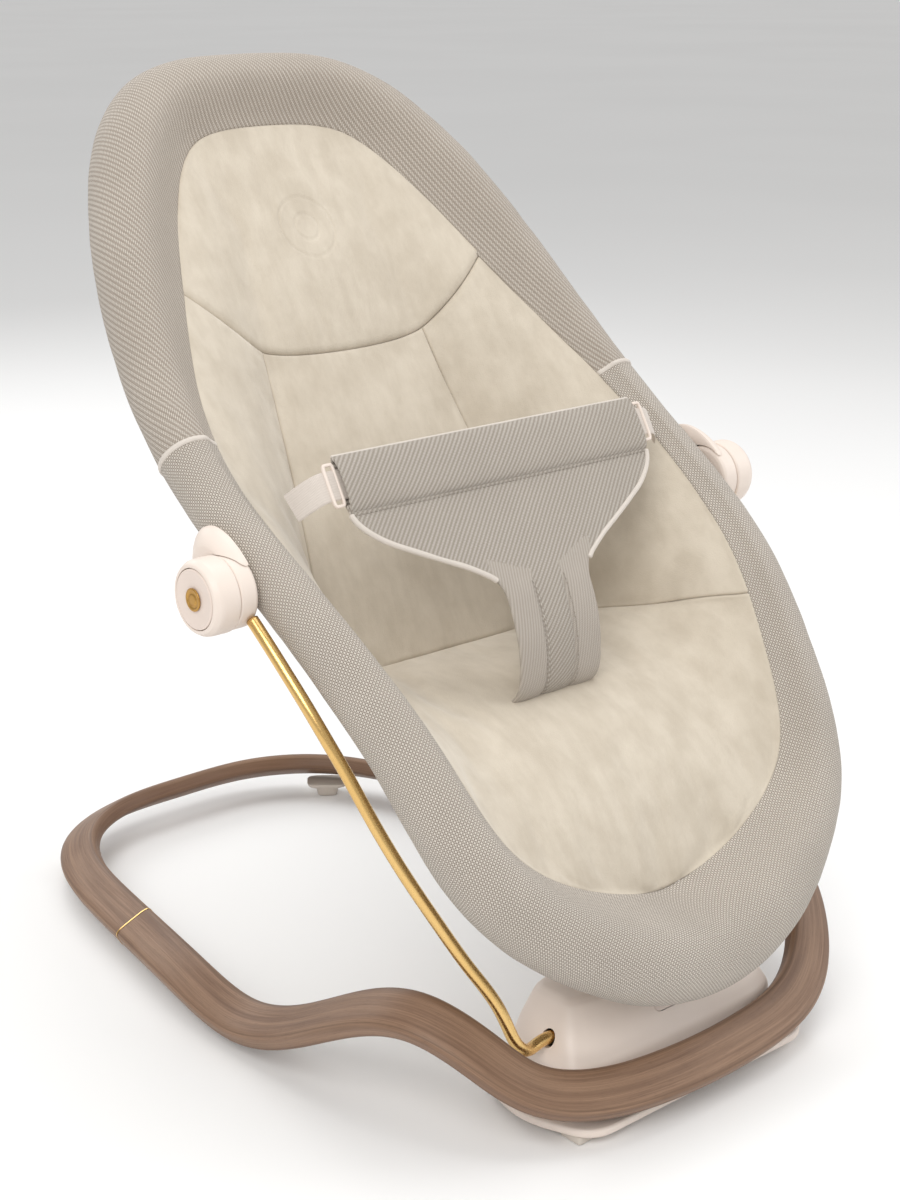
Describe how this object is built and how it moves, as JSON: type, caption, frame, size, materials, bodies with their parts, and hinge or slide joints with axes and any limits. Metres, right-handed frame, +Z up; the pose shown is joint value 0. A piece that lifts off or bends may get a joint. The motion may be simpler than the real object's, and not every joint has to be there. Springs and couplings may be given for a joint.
{
  "type": "infant bouncer seat",
  "caption": "Reclining padded infant bouncer seat on sprung metal legs over a bent-wood floor ring, with a waist and crotch harness.",
  "frame": {"origin": "on the floor, at the centre of the footprint's bounding box", "axes": "+Z up, -Y towards the foot end, +Y towards the head end, +X to the child's left side mirrored about X = 0"},
  "size_m": [0.534, 0.6962, 0.7009],
  "materials": {
    "walnut": "satin lacquered bent walnut",
    "gold_metal": "satin champagne gold",
    "cream_plastic": "fine matt moulding",
    "foot_rubber": "matt",
    "mesh_fabric": "two-tone basket weave",
    "velour": "short soft pile",
    "belt_fabric": "fine basket weave",
    "webbing": "satin woven tape",
    "piping": "satin piping",
    "steel": "zinc plated",
    "acetal": "natural"
  },
  "bodies": {
    "base": {"base_ring_rear": "walnut", "base_ring_front": "walnut", "ring_inlay_left": "gold_metal", "ring_inlay_right": "gold_metal", "ring_dowel_left": "steel", "ring_dowel_right": "steel", "rear_foot_left": "foot_rubber", "rear_foot_right": "foot_rubber", "front_foot_left": "foot_rubber", "front_foot_right": "foot_rubber", "base_tray": "cream_plastic", "housing_cover": "cream_plastic", "tray_screw_left": "steel", "tray_screw_right": "steel", "bearing_block_left": "acetal", "bearing_block_right": "acetal", "bounce_spring": "steel"},
    "latch": {"front_latch": "cream_plastic"},
    "legs": {"bounce_axle": "steel", "leg_tube_left": "gold_metal", "leg_tube_right": "gold_metal", "hub_housing_left": "cream_plastic", "hub_housing_right": "cream_plastic", "hub_pin_left": "steel", "hub_pin_right": "steel", "button_spring_left": "steel", "button_spring_right": "steel"},
    "seat": {"hub_cap_left": "cream_plastic", "hub_cap_right": "cream_plastic", "hub_bracket_left": "cream_plastic", "hub_bracket_right": "cream_plastic", "bracket_screw_left": "steel", "bracket_screw_right": "steel", "seat_hoop_tube": "steel", "rim_cover_lower": "mesh_fabric", "rim_cover_upper": "mesh_fabric", "rim_piping_left": "piping", "rim_piping_right": "piping", "pad_seat": "velour", "pad_backrest": "velour", "sling_cover": "mesh_fabric", "harness_panel": "belt_fabric", "webbing_left": "webbing", "webbing_right": "webbing", "adjuster_left": "cream_plastic", "adjuster_right": "cream_plastic"},
    "button_left": {"recline_button_left": "cream_plastic", "button_mark_left": "gold_metal", "lock_gear_left": "acetal"},
    "button_right": {"recline_button_right": "cream_plastic", "button_mark_right": "gold_metal", "lock_gear_right": "acetal"}
  },
  "joints": [
    {"name": "bounce", "type": "hinge", "parent": "base", "child": "legs", "pos_m": [0, -0.2689, 0.0575], "axis": [1, 0, 0], "range_deg": [-4, 3], "stiffness_Nm_per_rad": 250, "springref_deg": 1.72},
    {"name": "recline", "type": "hinge", "parent": "legs", "child": "seat", "pos_m": [0, -0.0969, 0.372], "axis": [1, 0, 0], "range_deg": [-24, 0]},
    {"name": "recline_button_left_press", "type": "slide", "parent": "seat", "child": "button_left", "axis": [1, 0, 0], "range_m": [0, 0.0028], "stiffness_N_per_m": 600, "deforming": ["button_spring_left"]},
    {"name": "recline_button_right_press", "type": "slide", "parent": "seat", "child": "button_right", "axis": [-1, 0, 0], "range_m": [0, 0.0028], "stiffness_N_per_m": 600, "deforming": ["button_spring_right"]},
    {"name": "front_latch_press", "type": "slide", "parent": "base", "child": "latch", "axis": [0, 0.7829, -0.6222], "range_m": [0, 0.002], "stiffness_N_per_m": 600}
  ]
}
